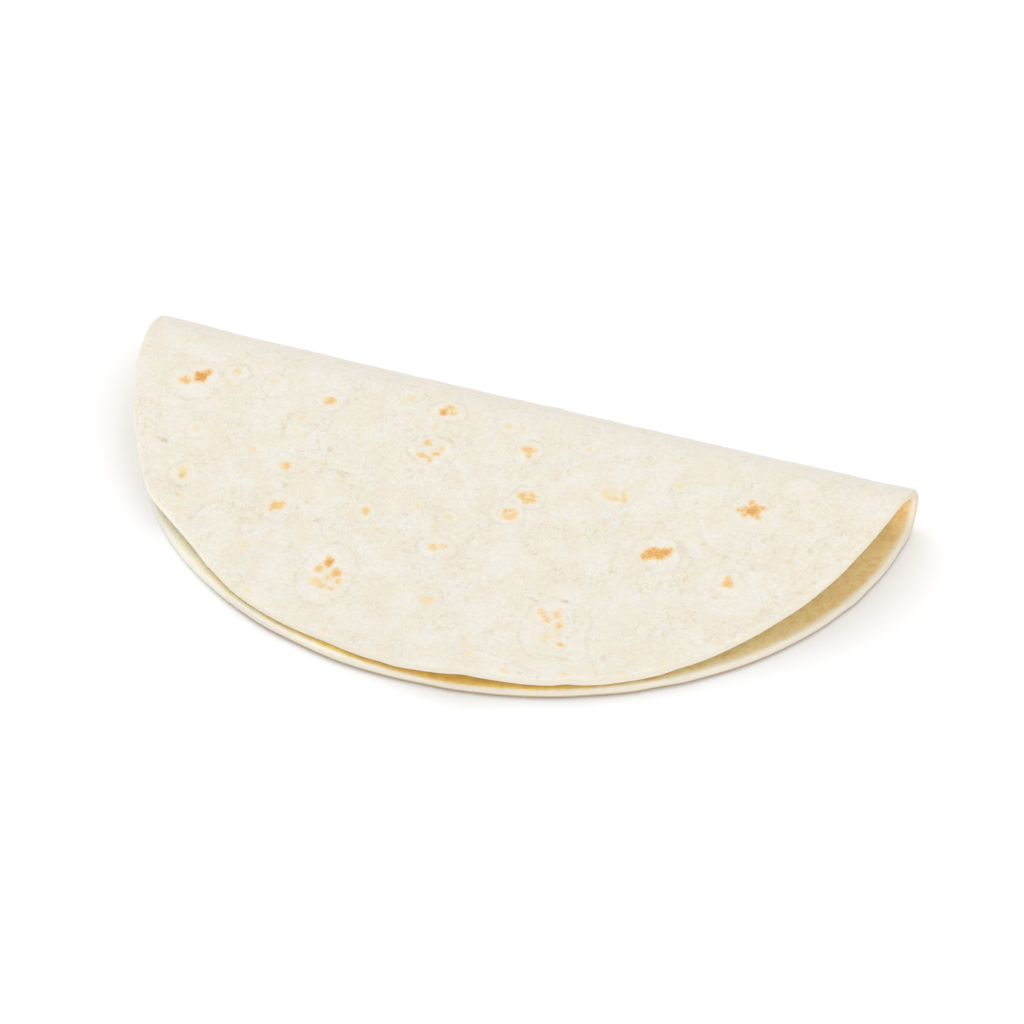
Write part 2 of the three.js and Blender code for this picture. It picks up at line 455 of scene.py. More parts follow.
# ======================================================================================
# what baking leaves on the sheet
# ======================================================================================

def rolling(x, s, wavelength, seed):
    """A gently uneven field between about -1 and 1: the sum of cosine waves of about the same
    length, in random directions and from random starts, over the square root of twice their
    number."""
    rng = np.random.default_rng(seed)
    directions = rng.uniform(0, 2 * np.pi, WAVE_COUNT)
    starts = rng.uniform(0, 2 * np.pi, WAVE_COUNT)
    lengths = wavelength * rng.uniform(0.7, 1.5, WAVE_COUNT)
    total = np.zeros_like(x)
    for angle, start, length in zip(directions, starts, lengths):
        total += np.cos((x * np.cos(angle) + s * np.sin(angle)) * 2 * np.pi / length + start)
    return total * math.sqrt(2 / WAVE_COUNT) / 2


def scattered(seed, count, sizes, values, where):
    """Random marks or blisters, (x, s, width, length, value, 0), in the part of the round that
    `where` allows: even over its area, small ones more often than large ones."""
    rng = np.random.default_rng(seed)
    found = []
    while len(found) < count:
        x, s = rng.uniform(-DISC_RADIUS, DISC_RADIUS, 2)
        size = sizes[0] + (sizes[1] - sizes[0]) * rng.random() ** FEW_LARGE
        stretch = rng.uniform(0.8, 1.25)
        value = rng.uniform(*values)
        if math.hypot(x, s) < DISC_RADIUS - RIM_MARGIN and where(x, s):
            found.append((x, s, size * stretch, size / stretch, value, 0))
    return found


FAR_OFF = -9.0  # the depth of a place that no mark or crease is near
RING_PLACE = 0.62  # of a hollow mark's ring, as a share of the mark's radius


def nearest_mark(x, s, marks):
    """For each place, how many millimetres deep it lies in the mark that covers it best, that
    mark's value and its mean radius. The depth is greatest in the middle of a mark, 0 on its
    outline and below 0 outside it; a hollow mark is deepest along a ring inside its outline."""
    depth = np.full(x.shape, FAR_OFF)
    value = np.zeros(x.shape)
    size = np.ones(x.shape)
    for mark_x, mark_s, width, length, mark_value, hollow in marks:
        radius = (width + length) / 4
        distance = np.hypot((x - mark_x) / (width / 2), (s - mark_s) / (length / 2))
        in_ring = 1 - RING_PLACE - np.abs(distance - RING_PLACE)
        this = radius * (in_ring if hollow else 1 - distance)
        better = this > depth
        depth = np.where(better, this, depth)
        value = np.where(better, mark_value, value)
        size = np.where(better, radius, size)
    return depth, value, size


def nearest_crease(x, s):
    """For each place, how many millimetres deep it lies in the nearest crease, a band round a
    broken line, and that crease's strength. The distance to each stretch of a line is the
    distance to the nearest point between its ends."""
    depth = np.full(x.shape, FAR_OFF)
    value = np.zeros(x.shape)
    for strength, *line in CREASES:
        for (start_x, start_s), (end_x, end_s) in zip(line, line[1:]):
            run_x, run_s = end_x - start_x, end_s - start_s
            share = ((x - start_x) * run_x + (s - start_s) * run_s) / (run_x**2 + run_s**2)
            share = np.clip(share, 0, 1)
            this = CREASE_WIDTH / 2 - np.hypot(x - start_x - share * run_x, s - start_s - share * run_s)
            better = this > depth
            depth = np.where(better, this, depth)
            value = np.where(better, strength, value)
    return depth, value


def is_hidden_side(x, s):
    """The lower half's outer face, which the marks of the upper half leave bare."""
    return s < BARE_BELOW


def everywhere(x, s):
    """No part of the round is left out."""
    return True


def with_hollow(entries):
    """Entries that say nothing about a hollow middle have none."""
    return [(*entry, 0) for entry in entries]


# each random part: its seed, how many, their least and greatest size, their least and greatest
# value, and where
OUTER_MARKS = TOASTED + scattered(31, 46, (1.2, 8), (0.2, 1.0), is_hidden_side)
INNER_MARKS = scattered(32, 60, (1.0, 4), (0.05, 0.35), everywhere)
OUTER_BLISTERS = with_hollow(BLISTERS) + scattered(33, 34, (4, 13), (0.1, 0.35), is_hidden_side)
INNER_BLISTERS = scattered(34, 46, (4, 12), (0.1, 0.25), everywhere)
OUTER_SPECKS = with_hollow(SPECKS) + scattered(35, 40, (0.8, 2.4), (0.3, 0.9), is_hidden_side)
INNER_SPECKS = scattered(36, 120, (0.8, 3), (0.2, 0.8), everywhere)


def strayed(x, s, stray):
    """The same place moved a little to and fro, so that outlines come out uneven and lines bent."""
    distance, wavelength, seed = stray
    moved_x = x + distance * rolling(x, s, wavelength, seed)
    moved_s = s + distance * rolling(x, s, wavelength, seed + 1)
    return moved_x, moved_s


def blister_relief(depth, height, size):
    """The height of a low blister that has sunk again: a raised lip with a dip in the middle,
    inside a narrow groove along its outline. Distances are shares of its radius, and the dip and
    the groove are shares of its height."""
    distance = 1 - depth / size
    lip = 1 - soft_step(distance, 0.6, 1.0)
    dip = 0.4 * bell(distance, 0, 0.42)
    groove = 0.16 * bell(distance, 1.05, 0.09)
    return height * (lip - dip - groove)


def outer_relief(x, s, from_rim):
    """The outer face's unevenness, in millimetres along its normal."""
    listed_s = s + LISTS_START
    blisters = blister_relief(*nearest_mark(*strayed(x, listed_s, BLISTER_STRAY), OUTER_BLISTERS))
    depth, strength = nearest_crease(*strayed(x, listed_s, CREASE_STRAY))
    creases = CREASE_DEPTH * strength * soft_step(depth, -CREASE_WIDTH, CREASE_WIDTH / 2)
    waves = sum(height * rolling(x, s, wavelength, seed) for height, wavelength, seed in OUTER_WAVES)
    return (waves + blisters - creases) * soft_step(from_rim, 0, OUTER_FADE)


def inner_relief(x, s, from_rim):
    """The inner face's unevenness, which only takes away, so the halves keep their gap: waves, and
    blisters that have sunk in by half their height."""
    depth, height, _ = nearest_mark(x, s, INNER_BLISTERS)
    sunk = height / 2 * soft_step(depth, 0, 1.5)
    waves = sum(rise * (rolling(x, s, wavelength, seed) - 1) for rise, wavelength, seed in INNER_WAVES)
    return (waves - sunk) * soft_step(from_rim, 0, INNER_FADE)


# ======================================================================================
# the mesh
# ======================================================================================

def disc_grid(cells):
    """A square grid bent into a round of radius 1, with cells of even area: each square ring of
    the grid becomes a circle, and each of its four sides becomes a quarter of that circle."""
    ticks = np.linspace(-1, 1, cells + 1)
    u, v = np.meshgrid(ticks, ticks, indexing="ij")
    is_side = np.abs(u) >= np.abs(v)
    radius = np.where(is_side, u, v)
    safe = np.where(radius == 0, 1, radius)
    turn = np.where(is_side, v, u) / safe * np.pi / 4
    x = radius * np.where(is_side, np.cos(turn), np.sin(turn))
    s = radius * np.where(is_side, np.sin(turn), np.cos(turn))
    return x, s


def ring_of(cells):
    """The numbers of a grid's outermost vertices, anticlockwise from the corner of least x and s."""
    number = np.arange((cells + 1) ** 2).reshape(cells + 1, cells + 1)
    return np.concatenate([number[:-1, 0], number[-1, :-1], number[:0:-1, -1], number[0, :0:-1]])


def face_sheet(cells):
    """The flat coordinates of a face's vertices, as far out as the edge's rounding begins, and
    their distance from the outline."""
    x, s = disc_grid(cells)
    radius = outline_radius(np.arctan2(s, x))
    share = np.hypot(x, s)
    reach = radius - HALF_THICKNESS
    return x * reach, s * reach, radius - share * reach


def grid_quads(cells, first, is_outer):
    """The four-sided faces of a grid, turned so that they face out of the dough."""
    number = np.arange((cells + 1) ** 2).reshape(cells + 1, cells + 1) + first
    a, b, c, d = number[:-1, :-1], number[:-1, 1:], number[1:, 1:], number[1:, :-1]
    corners = (a, b, c, d) if is_outer else (a, d, c, b)
    return np.stack(corners, axis=-1).reshape(-1, 4)


def rim_unevenness(around, variation):
    """How the rim varies at each angle: gently uneven, and the same again after a full turn."""
    amount, wavelength, seed = variation
    return amount * rolling(RIM_CIRCLE * np.cos(around), RIM_CIRCLE * np.sin(around), wavelength, seed)


def edge_rows(x, s):
    """The rounded edge between the outer and the inner face, row by row: half turns about the
    middle of the sheet, from the outer face over the outline to the inner face. Their size varies
    a little round the rim."""
    around = np.arctan2(s, x)
    ragged = rim_unevenness(around, RIM_RAGGEDNESS)
    fullness = 1 + rim_unevenness(around, RIM_THINNING)
    out_x = SLOPE_REACH * np.cos(around)
    out_s = SLOPE_REACH * np.sin(around)
    outward = unit(folded(x + out_x, s + out_s) - folded(x - out_x, s - out_s))
    normal = outward_normal(x, s)
    root = folded(x, s)
    points = []
    flats = []
    for turned in np.pi * np.arange(1, EDGE_STEPS) / EDGE_STEPS:
        rise = HALF_THICKNESS * np.cos(turned) * np.ones_like(x)
        reach = (HALF_THICKNESS * fullness + ragged) * np.sin(turned)
        points.append(root + normal * rise[:, None] + outward * reach[:, None])
        flats.append(np.stack([x + reach * np.cos(around), s + reach * np.sin(around), rise], axis=-1))
    return points, flats


def edge_faces(outer_ring, first, inner_ring):
    """Joins the outer face's ring to the edge's rows, and the last row, by three triangles for
    every two of its cells, to the inner face's ring, which has half as many vertices."""
    count = len(outer_ring)
    rows = [outer_ring] + [first + k * count + np.arange(count) for k in range(EDGE_STEPS - 1)]
    quads = []
    for row, below in zip(rows, rows[1:]):
        quads.append(np.stack([row, np.roll(row, -1), np.roll(below, -1), below], axis=-1))
    last = rows[-1]
    a, b, c = last[0::2], last[1::2], np.roll(last, -2)[0::2]
    inner, inner_next = inner_ring, np.roll(inner_ring, -1)
    triangles = [(a, b, inner), (b, c, inner_next), (b, inner_next, inner)]
    return np.concatenate(quads), np.concatenate([np.stack(t, axis=-1) for t in triangles])


def place_in_frame(points):
    """How far the fold's own axes have to be shifted, so that the bread's middle, without its
    relief, lies over the middle of its solid's box."""
    low, high = (np.array(corner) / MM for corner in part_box("tortilla"))
    middle = (points.min(axis=0) + points.max(axis=0)) / 2
    shift = (low + high) / 2 - middle
    return np.array([shift[0], shift[1], 0])


def write_attribute(mesh, name, kind, values):
    """Stores one value, or one row of three values, for each vertex under a name."""
    attribute = mesh.attributes.new(name, kind, "POINT")
    field = "vector" if kind == "FLOAT_VECTOR" else "value"
    attribute.data.foreach_set(field, np.ascontiguousarray(values, dtype=np.float32).ravel())


def write_marks(mesh, flat, is_inner):
    """Stores, for each vertex, its depth in the nearest toasted mark, blister, speck and crease,
    with that one's value and radius. A crease has no radius, and the inner face has no creases."""
    place = flat[:, 0], flat[:, 1] + LISTS_START
    for name, where, outer_list, inner_list in (
        ("toasted", place, OUTER_MARKS, INNER_MARKS),
        ("blister", strayed(*place, BLISTER_STRAY), OUTER_BLISTERS, INNER_BLISTERS),
        ("speck", place, OUTER_SPECKS, INNER_SPECKS),
    ):
        on_outer = np.stack(nearest_mark(*where, outer_list), axis=-1)
        on_inner = np.stack(nearest_mark(*where, inner_list), axis=-1)
        write_attribute(mesh, name, "FLOAT_VECTOR", np.where(is_inner[:, None], on_inner, on_outer))
    depth, strength = nearest_crease(*strayed(*place, CREASE_STRAY))
    in_crease = np.stack([depth, strength * ~is_inner, np.zeros_like(depth)], axis=-1)
    write_attribute(mesh, "crease", "FLOAT_VECTOR", in_crease)


def baked_tortilla():
    """The whole sheet as one closed mesh, with its flat coordinates and baking as attributes."""
    outer_x, outer_s, outer_rim = (values.ravel() for values in face_sheet(OUTER_CELLS))
    inner_x, inner_s, inner_rim = (values.ravel() for values in face_sheet(INNER_CELLS))
    outer_normal = outward_normal(outer_x, outer_s)
    smooth_outer = folded(outer_x, outer_s) + outer_normal * HALF_THICKNESS
    outer = smooth_outer + outer_normal * outer_relief(outer_x, outer_s, outer_rim)[:, None]
    inner_depth = inner_relief(inner_x, inner_s, inner_rim) + HALF_THICKNESS
    inner = folded(inner_x, inner_s) - outward_normal(inner_x, inner_s) * inner_depth[:, None]

    outer_ring = ring_of(OUTER_CELLS)
    edge_points, edge_flats = edge_rows(outer_x[outer_ring], outer_s[outer_ring])
    points = np.concatenate([outer, *edge_points, inner])
    points[:, 2] = np.maximum(points[:, 2], 0)
    first_edge = len(outer)
    first_inner = len(points) - len(inner)
    edge_quads, edge_triangles = edge_faces(outer_ring, first_edge, ring_of(INNER_CELLS) + first_inner)
    quads = [grid_quads(OUTER_CELLS, 0, True), edge_quads, grid_quads(INNER_CELLS, first_inner, False)]
    faces = np.concatenate(quads).tolist() + edge_triangles.tolist()

    shift = place_in_frame(np.concatenate([smooth_outer, *edge_points]))
    mesh = bpy.data.meshes.new("tortilla_bread")
    mesh.from_pydata(((points + shift) * MM).tolist(), [], faces)
    mesh.shade_smooth()

    outer_flat = np.stack([outer_x, outer_s, np.full(len(outer), HALF_THICKNESS)], axis=-1)
    inner_flat = np.stack([inner_x, inner_s, np.full(len(inner), -HALF_THICKNESS)], axis=-1)
    flat = np.concatenate([outer_flat, *edge_flats, inner_flat])
    radius = np.hypot(flat[:, 0], flat[:, 1])
    from_rim = outline_radius(np.arctan2(flat[:, 1], flat[:, 0])) - radius
    write_attribute(mesh, "flat", "FLOAT_VECTOR", flat)
    write_attribute(mesh, "from_rim", "FLOAT", from_rim)
    write_marks(mesh, flat, np.arange(len(flat)) >= first_inner)
    bread = bpy.data.objects.new("tortilla_bread", mesh)
    bpy.context.scene.collection.objects.link(bread)
    return bread, shift


# ======================================================================================
# materials
# ======================================================================================

def add(tree, kind, inputs=None, **settings):
    """Adds a node. `inputs` holds, by socket name or number, a value or another node's output."""
    node = tree.nodes.new(kind)
    for name, value in settings.items():
        setattr(node, name, value)
    for socket, value in (inputs or {}).items():
        if isinstance(value, bpy.types.NodeSocket):
            tree.links.new(value, node.inputs[socket])
        else:
            node.inputs[socket].default_value = value
    return node


def noise(tree, sheet, size, detail, roughness, distortion=0.0):
    """A noise whose lumps are about `size` millimetres wide."""
    values = {"Vector": sheet, "Scale": 1 / size, "Detail": detail, "Roughness": roughness}
    return add(tree, "ShaderNodeTexNoise", {**values, "Distortion": distortion}).outputs[0]


def step(tree, value, start, end):
    """From 0 to 1, softly, as the value goes from start to end."""
    values = {"Value": value, 1: start, 2: end}
    return add(tree, "ShaderNodeMapRange", values, interpolation_type="SMOOTHSTEP").outputs[0]


def calc(tree, operation, *values):
    """One step of arithmetic on up to three values."""
    return add(tree, "ShaderNodeMath", dict(enumerate(values)), operation=operation).outputs[0]


def times(tree, *values):
    """The product of several values."""
    product = values[0]
    for value in values[1:]:
        product = calc(tree, "MULTIPLY", product, value)
    return product


def without(tree, value):
    """What a mask leaves free: 1 less its value."""
    return calc(tree, "SUBTRACT", 1, value)


def mixed(tree, amount, base, top):
    """The base colour with the top colour over it, as far as the amount says."""
    return add(tree, "ShaderNodeMix", {0: amount, 6: base, 7: top}, data_type="RGBA").outputs[2]


def parts(tree, vector):
    """The three numbers that a vector holds."""
    return add(tree, "ShaderNodeSeparateXYZ", {0: vector}).outputs


def rgb(red, green, blue):
    """A colour as seen on a screen, 0 to 255, as the shader's linear values."""
    shares = [value / 255 for value in (red, green, blue)]
    linear = [c / 12.92 if c <= 0.04045 else ((c + 0.055) / 1.055) ** 2.4 for c in shares]
    return (*linear, 1.0)


def group(name, inputs, outputs):
    """A new shader node group with named sockets: {name: socket type}."""
    tree = bpy.data.node_groups.new(name, "ShaderNodeTree")
    for socket, kind in inputs.items():
        tree.interface.new_socket(socket, in_out="INPUT", socket_type=kind)
    for socket, kind in outputs.items():
        tree.interface.new_socket(socket, in_out="OUTPUT", socket_type=kind)
    return tree, tree.nodes.new("NodeGroupInput").outputs, tree.nodes.new("NodeGroupOutput")


def connect(tree, output_node, values):
    """Puts out each value of a group under its name."""
    for socket, value in values.items():
        tree.links.new(value, output_node.inputs[socket])


VALUE = "NodeSocketFloat"
COLOUR = "NodeSocketColor"
VECTOR = "NodeSocketVector"

# plain dough
CREAM = rgb(231, 228, 219)
WARM_CREAM = rgb(230, 223, 207)
GRAIN_SHADE = rgb(206, 199, 184)
STIPPLE = rgb(210, 195, 163)
FLOUR = rgb(235, 232, 224)
# painted shade along the fold, where the surface turns away from the light
FOLD_SHADE = rgb(221, 215, 204)
# the rim: painted shade on its side, painted light on it at the left, and painted shade where it passes
# the fold
RIM_SHADED_CREAM = rgb(223, 217, 203)
RIM_LIT_PALE = rgb(236, 231, 218)
FOLD_END_SHADE = rgb(214, 203, 180)
SPECK = rgb(206, 186, 142)
# painted shade in the creases and along the blister outlines
CREASE_SHADE = rgb(211, 198, 171)
# browned, and painted contact shade where the lower rim meets the table
UNDER_RIM_BROWN_AND_SHADE = rgb(172, 142, 96)
# the inside: at the rim; a little further in at the left, the front, the right and both ends (and
# deep in on the left); deep in on the right; and mottling
INNER_PALE = rgb(242, 236, 221)
# painted light: the ochre of the inner face stands for the warm light that passes through the dough and
# bounces between the halves, made paler where the inside lies in shade
INNER_LEFT_GLOW = rgb(255, 244, 213)
INNER_FRONT_GLOW = rgb(255, 225, 134)
INNER_RIGHT_GLOW = rgb(255, 237, 186)
INNER_END_GLOW = rgb(247, 226, 170)
INNER_DEEP_GLOW = rgb(255, 247, 215)
INNER_SPECK = rgb(228, 174, 92)
# toasted: the outline of a mark, and then each shade up to the middle of the brownest mark, from
# where it begins to show to where it covers the one before: (start, end, colour), by how browned
TOAST_EDGE = rgb(232, 221, 196)
TOAST_SHADES = [
    (0.0, 0.28, rgb(233, 213, 172)),
    (0.22, 0.56, rgb(232, 195, 139)),
    (0.52, 0.84, rgb(226, 177, 108)),
    (0.8, 1.0, rgb(214, 158, 84)),
]


def mottling():
    """The unevenness of plain dough, each a mask from 0 to 1: Warmth, almost as strong in small
    specks as in broad clouds; Grain, the fine light and shade of the skin; Stipple, clusters of
    darker dots; and Flour, patches of dust."""
    masks = {name: VALUE for name in ("Warmth", "Grain", "Stipple", "Flour")}
    tree, given, out = group("dough mottling", {"Sheet": VECTOR}, masks)
    sheet = given["Sheet"]
    patches = step(tree, noise(tree, sheet, 10, 3, 0.6, 0.8), 0.4, 0.58)
    dots = step(tree, noise(tree, sheet, 1.3, 3, 0.75, 0.8), 0.5, 0.68)
    dust = step(tree, noise(tree, sheet, 11, 3, 0.6, 0.5), 0.48, 0.66)
    powder = step(tree, noise(tree, sheet, 1.5, 4, 0.8), 0.42, 0.62)
    connect(
        tree,
        out,
        {
            "Warmth": step(tree, noise(tree, sheet, 8, 6, 0.85, 0.4), 0.4, 0.6),
            "Grain": step(tree, noise(tree, sheet, 1.0, 3, 0.9), 0.42, 0.62),
            "Stipple": times(tree, patches, dots),
            "Flour": times(tree, dust, powder),
        },
    )
    return tree


def toasted_marks():
    """Where the dough is toasted and its colour there: from pale at a ragged outline to brown in
    the middle, the browner the mark. Marks holds each place's depth in its mark, how brown that
    mark is and its radius. Halo is the paler ring of raised dough round a mark."""
    tree, given, out = group(
        "toasted marks",
        {"Sheet": VECTOR, "Marks": VECTOR},
        {"Mask": VALUE, "Colour": COLOUR, "Crust": VALUE, "Halo": VALUE},
    )
    sheet = given["Sheet"]
    depth, brown, radius = parts(tree, given["Marks"])

    # the outline, moved in and out by coarse and fine lumps, less so on a small mark
    coarse = calc(tree, "SUBTRACT", noise(tree, sheet, 1.6, 2, 0.6, 0.5), 0.5)
    fine = calc(tree, "SUBTRACT", noise(tree, sheet, 0.6, 2, 0.6), 0.5)
    ragged = calc(tree, "MULTIPLY_ADD", coarse, 3.4, times(tree, fine, 1.8))
    raggedness = calc(tree, "MINIMUM", times(tree, radius, 0.4), 0.8)
    depth = calc(tree, "MULTIPLY_ADD", ragged, raggedness, depth)

    # browner the deeper it is, in fine spots, and as far as the mark itself is brown
    core = calc(tree, "MULTIPLY_ADD", noise(tree, sheet, 0.6, 3, 0.8), 1.2, 0.44)
    browned = times(tree, calc(tree, "POWER", step(tree, depth, -0.9, 1.3), 0.8), brown, core)
    colour = TOAST_EDGE
    for start, end, shade in TOAST_SHADES:
        colour = mixed(tree, step(tree, browned, start, end), colour, shade)
    shown = step(tree, brown, -0.2, 0.42)
    connect(
        tree,
        out,
        {
            "Mask": times(tree, step(tree, depth, -1.0, 0.7), shown),
            "Colour": colour,
            "Crust": browned,
            "Halo": times(tree, step(tree, depth, -2.4, -1.0), step(tree, brown, 0.0, 0.4)),
        },
    )
    return tree


CLEAR_HEIGHT = 0.2  # from this height on, a blister's top and outline show in full


def blister_rings():
    """The pale top and the thin, broken outline of a blister, as masks; the outline is painted darker,
    as shade along the blister's groove. Blister holds each place's depth in its blister and that
    blister's height."""
    tree, given, out = group(
        "blister rings", {"Sheet": VECTOR, "Blister": VECTOR}, {"Top": VALUE, "Outline": VALUE}
    )
    depth, height, _ = parts(tree, given["Blister"])
    sheet = given["Sheet"]
    wobble = calc(tree, "SUBTRACT", noise(tree, sheet, 3, 3, 0.6), 0.5)
    broken = step(tree, noise(tree, sheet, 4.5, 3, 0.6), 0.36, 0.62)
    depth = calc(tree, "ADD", depth, wobble)
    clear = calc(tree, "MINIMUM", times(tree, height, 1 / CLEAR_HEIGHT), 1.0)
    off_line = calc(tree, "ABSOLUTE", calc(tree, "ADD", depth, 0.15))
    line = without(tree, step(tree, off_line, 0.1, 0.65))
    connect(
        tree,
        out,
        {
            "Top": times(tree, step(tree, depth, 0.2, 1.0), clear),
            "Outline": times(tree, line, broken, clear),
        },
    )
    return tree


def broken_spots():
    """Specks or creases with soft, uneven edges, as a mask. Spots holds each place's depth in its
    spot and that spot's strength."""
    tree, given, out = group("broken spots", {"Sheet": VECTOR, "Spots": VECTOR}, {"Mask": VALUE})
    depth, strength, _ = parts(tree, given["Spots"])
    sheet = given["Sheet"]
    uneven = calc(tree, "SUBTRACT", noise(tree, sheet, 0.9, 3, 0.7), 0.5)
    depth = calc(tree, "MULTIPLY_ADD", uneven, 1.4, depth)
    connect(tree, out, {"Mask": times(tree, step(tree, depth, -0.35, 0.4), strength)})
    return tree


def placed(tree, node_group, inputs):
    """Places a group in a material and links its named inputs."""
    node = add(tree, "ShaderNodeGroup", node_tree=node_group)
    for socket, value in inputs.items():
        tree.links.new(value, node.inputs[socket])
    return node.outputs


# where one colouring of the bread, its own or painted light and shade, gives way to the next:
# (begins, complete), in millimetres along the fold from its middle
LEFT_ENDS = (-62, -34)
RIGHT_BEGINS = (30, 70)
END_BEGINS = (74, 92)  # to either side
PALE_NARROWS = (-30, 25)
DEEP_LIGHTENS = (-40, 30)
# away from the fold, positive on the upper half
FOLD_SHADE_BEGINS = (-22, -6)
FOLD_SHADE_ENDS = (4, 22)
UNDER_RIM_ENDS = (-12, -4)
# in from the rim
OFF_EDGE = (0.1, 0.9)
UNDER_RIM_FADES = (1.5, 6)
SMOOTH_FADES = (4, 9)
DEEP_BEGINS = (5, 14)
# how wide the pale band of the inner face is at the left, and what the front and the right add
PALE_WIDTH = 1.2
PALE_AT_FRONT = -0.75
PALE_AT_RIGHT = 0.8
# how strongly the inner face is mottled, and what the smooth place at the left rim adds
INNER_MOTTLING = 0.46
SMOOTH_MOTTLING = -0.36


def bread_material():
    """Soft matt flour dough: cream with faint mottling, toasted marks and pale blisters outside,
    with painted shade along the fold, on the rim and under it, in the creases and round the blisters,
    and painted light on the rim at the left; inside, an ochre painted glow for the light that passes
    through and between the halves; and a smooth pale band round the rim."""
    material = bpy.data.materials.new("baked_dough")
    material.use_nodes = True
    tree = material.node_tree
    shader = tree.nodes["Principled BSDF"]
    sheet, marks, blister, specks, creases = (
        add(tree, "ShaderNodeAttribute", attribute_name=name).outputs["Vector"]
        for name in ("flat", "toasted", "blister", "speck", "crease")
    )
    from_rim = add(tree, "ShaderNodeAttribute", attribute_name="from_rim").outputs["Fac"]
    along, across, through = parts(tree, sheet)

    dough = placed(tree, mottling(), {"Sheet": sheet})
    toast = placed(tree, toasted_marks(), {"Sheet": sheet, "Marks": marks})
    rings = placed(tree, blister_rings(), {"Sheet": sheet, "Blister": blister})
    spots = broken_spots()
    speck = placed(tree, spots, {"Sheet": sheet, "Spots": specks})["Mask"]
    crease = placed(tree, spots, {"Sheet": sheet, "Spots": creases})["Mask"]

    # which face, and how far in from the rim, with an uneven line
    inside = without(tree, step(tree, through, -0.95, -0.2))
    uneven = calc(tree, "SUBTRACT", noise(tree, sheet, 4.0, 5, 0.75), 0.5)
    inset = calc(tree, "MULTIPLY_ADD", uneven, 2.4, from_rim)
    off_edge = step(tree, from_rim, *OFF_EDGE)
    to_left = without(tree, step(tree, along, *LEFT_ENDS))
    to_right = step(tree, along, *RIGHT_BEGINS)
    # the band along the fold that takes painted shade
    past_fold_shade = step(tree, across, *FOLD_SHADE_ENDS)
    fold_shade = times(tree, step(tree, across, *FOLD_SHADE_BEGINS), without(tree, past_fold_shade))

    # the outer face: greyer along the fold, as painted shade where its surface turns away from the
    # light, paler on blisters, floury in places, with painted shade in the creases and along the blister
    # outlines. Each layer is where it lies, how far it covers what is under it, and its colour
    outer = mixed(tree, dough["Warmth"], CREAM, WARM_CREAM)
    for mask, cover, layer in (
        (fold_shade, 0.75, FOLD_SHADE),
        (dough["Grain"], 0.24, GRAIN_SHADE),
        (dough["Stipple"], 0.5, STIPPLE),
        (dough["Flour"], 0.3, FLOUR),
        (rings["Top"], 0.1, FLOUR),
        (toast["Halo"], 0.12, FLOUR),
        (rings["Outline"], 0.3, CREASE_SHADE),
        (crease, 0.5, CREASE_SHADE),
    ):
        outer = mixed(tree, times(tree, mask, cover), outer, layer)

    # the inner face: pale as far in as pale_to, furthest at the left and the right, then ochre,
    # strongest at the front, then lighter again deep in the fold, and least mottled at the left rim. The
    # ochre and its lightening are painted light: a warm glow for the light that passes through the dough
    # and bounces between the halves, made brighter where the inside lies in shade
    pale_to = calc(tree, "MULTIPLY_ADD", step(tree, along, *PALE_NARROWS), PALE_AT_FRONT, PALE_WIDTH)
    pale_to = calc(tree, "MULTIPLY_ADD", to_right, PALE_AT_RIGHT, pale_to)
    inner = mixed(tree, to_left, INNER_FRONT_GLOW, INNER_LEFT_GLOW)
    inner = mixed(tree, to_right, inner, INNER_RIGHT_GLOW)
    deep = mixed(tree, step(tree, along, *DEEP_LIGHTENS), INNER_END_GLOW, INNER_DEEP_GLOW)
    inner = mixed(tree, step(tree, inset, *DEEP_BEGINS), inner, deep)
    at_end = step(tree, calc(tree, "ABSOLUTE", along), *END_BEGINS)
    inner = mixed(tree, at_end, inner, INNER_END_GLOW)
    mottled = step(tree, noise(tree, sheet, 2.6, 4, 0.75, 0.3), 0.4, 0.68)
    smooth = times(tree, to_left, without(tree, step(tree, inset, *SMOOTH_FADES)))
    strength = calc(tree, "MULTIPLY_ADD", smooth, SMOOTH_MOTTLING, INNER_MOTTLING)
    inner = mixed(tree, times(tree, mottled, strength), inner, INNER_SPECK)
    # where the painted glow covers the pale band
    ochre = step(tree, calc(tree, "SUBTRACT", inset, pale_to), -0.2, 1.3)
    inner = mixed(tree, ochre, INNER_PALE, inner)

    # the rim itself: darker than the face, as painted shade on its side; paler on the left, as painted
    # light; and darker still where it passes the fold, as painted shade
    rim = mixed(tree, to_left, RIM_SHADED_CREAM, RIM_LIT_PALE)
    rim = mixed(tree, times(tree, fold_shade, 0.8), rim, FOLD_END_SHADE)
    colour = mixed(tree, inside, outer, inner)
    colour = mixed(tree, without(tree, off_edge), colour, rim)
    toasted = times(tree, toast["Mask"], off_edge)
    colour = mixed(tree, toasted, colour, toast["Colour"])
    colour = mixed(tree, times(tree, speck, 0.7, off_edge), colour, SPECK)

    # the lower rim is browned, with painted contact shade, where it faces the table, except on the left
    past_front = step(tree, across, *UNDER_RIM_ENDS)
    far_in = step(tree, inset, *UNDER_RIM_FADES)
    below = times(tree, step(tree, through, -0.35, 0.5), without(tree, past_front))
    below = times(tree, below, without(tree, far_in), without(tree, to_left))
    colour = mixed(tree, times(tree, below, 0.95), colour, UNDER_RIM_BROWN_AND_SHADE)
    tree.links.new(colour, shader.inputs["Base Color"])

    # matt, a little less so where it is toasted, most where flour lies
    rough = calc(tree, "MULTIPLY_ADD", dough["Flour"], 0.1, 0.8)
    rough = calc(tree, "MULTIPLY_ADD", toasted, -0.16, rough)
    tree.links.new(rough, shader.inputs["Roughness"])

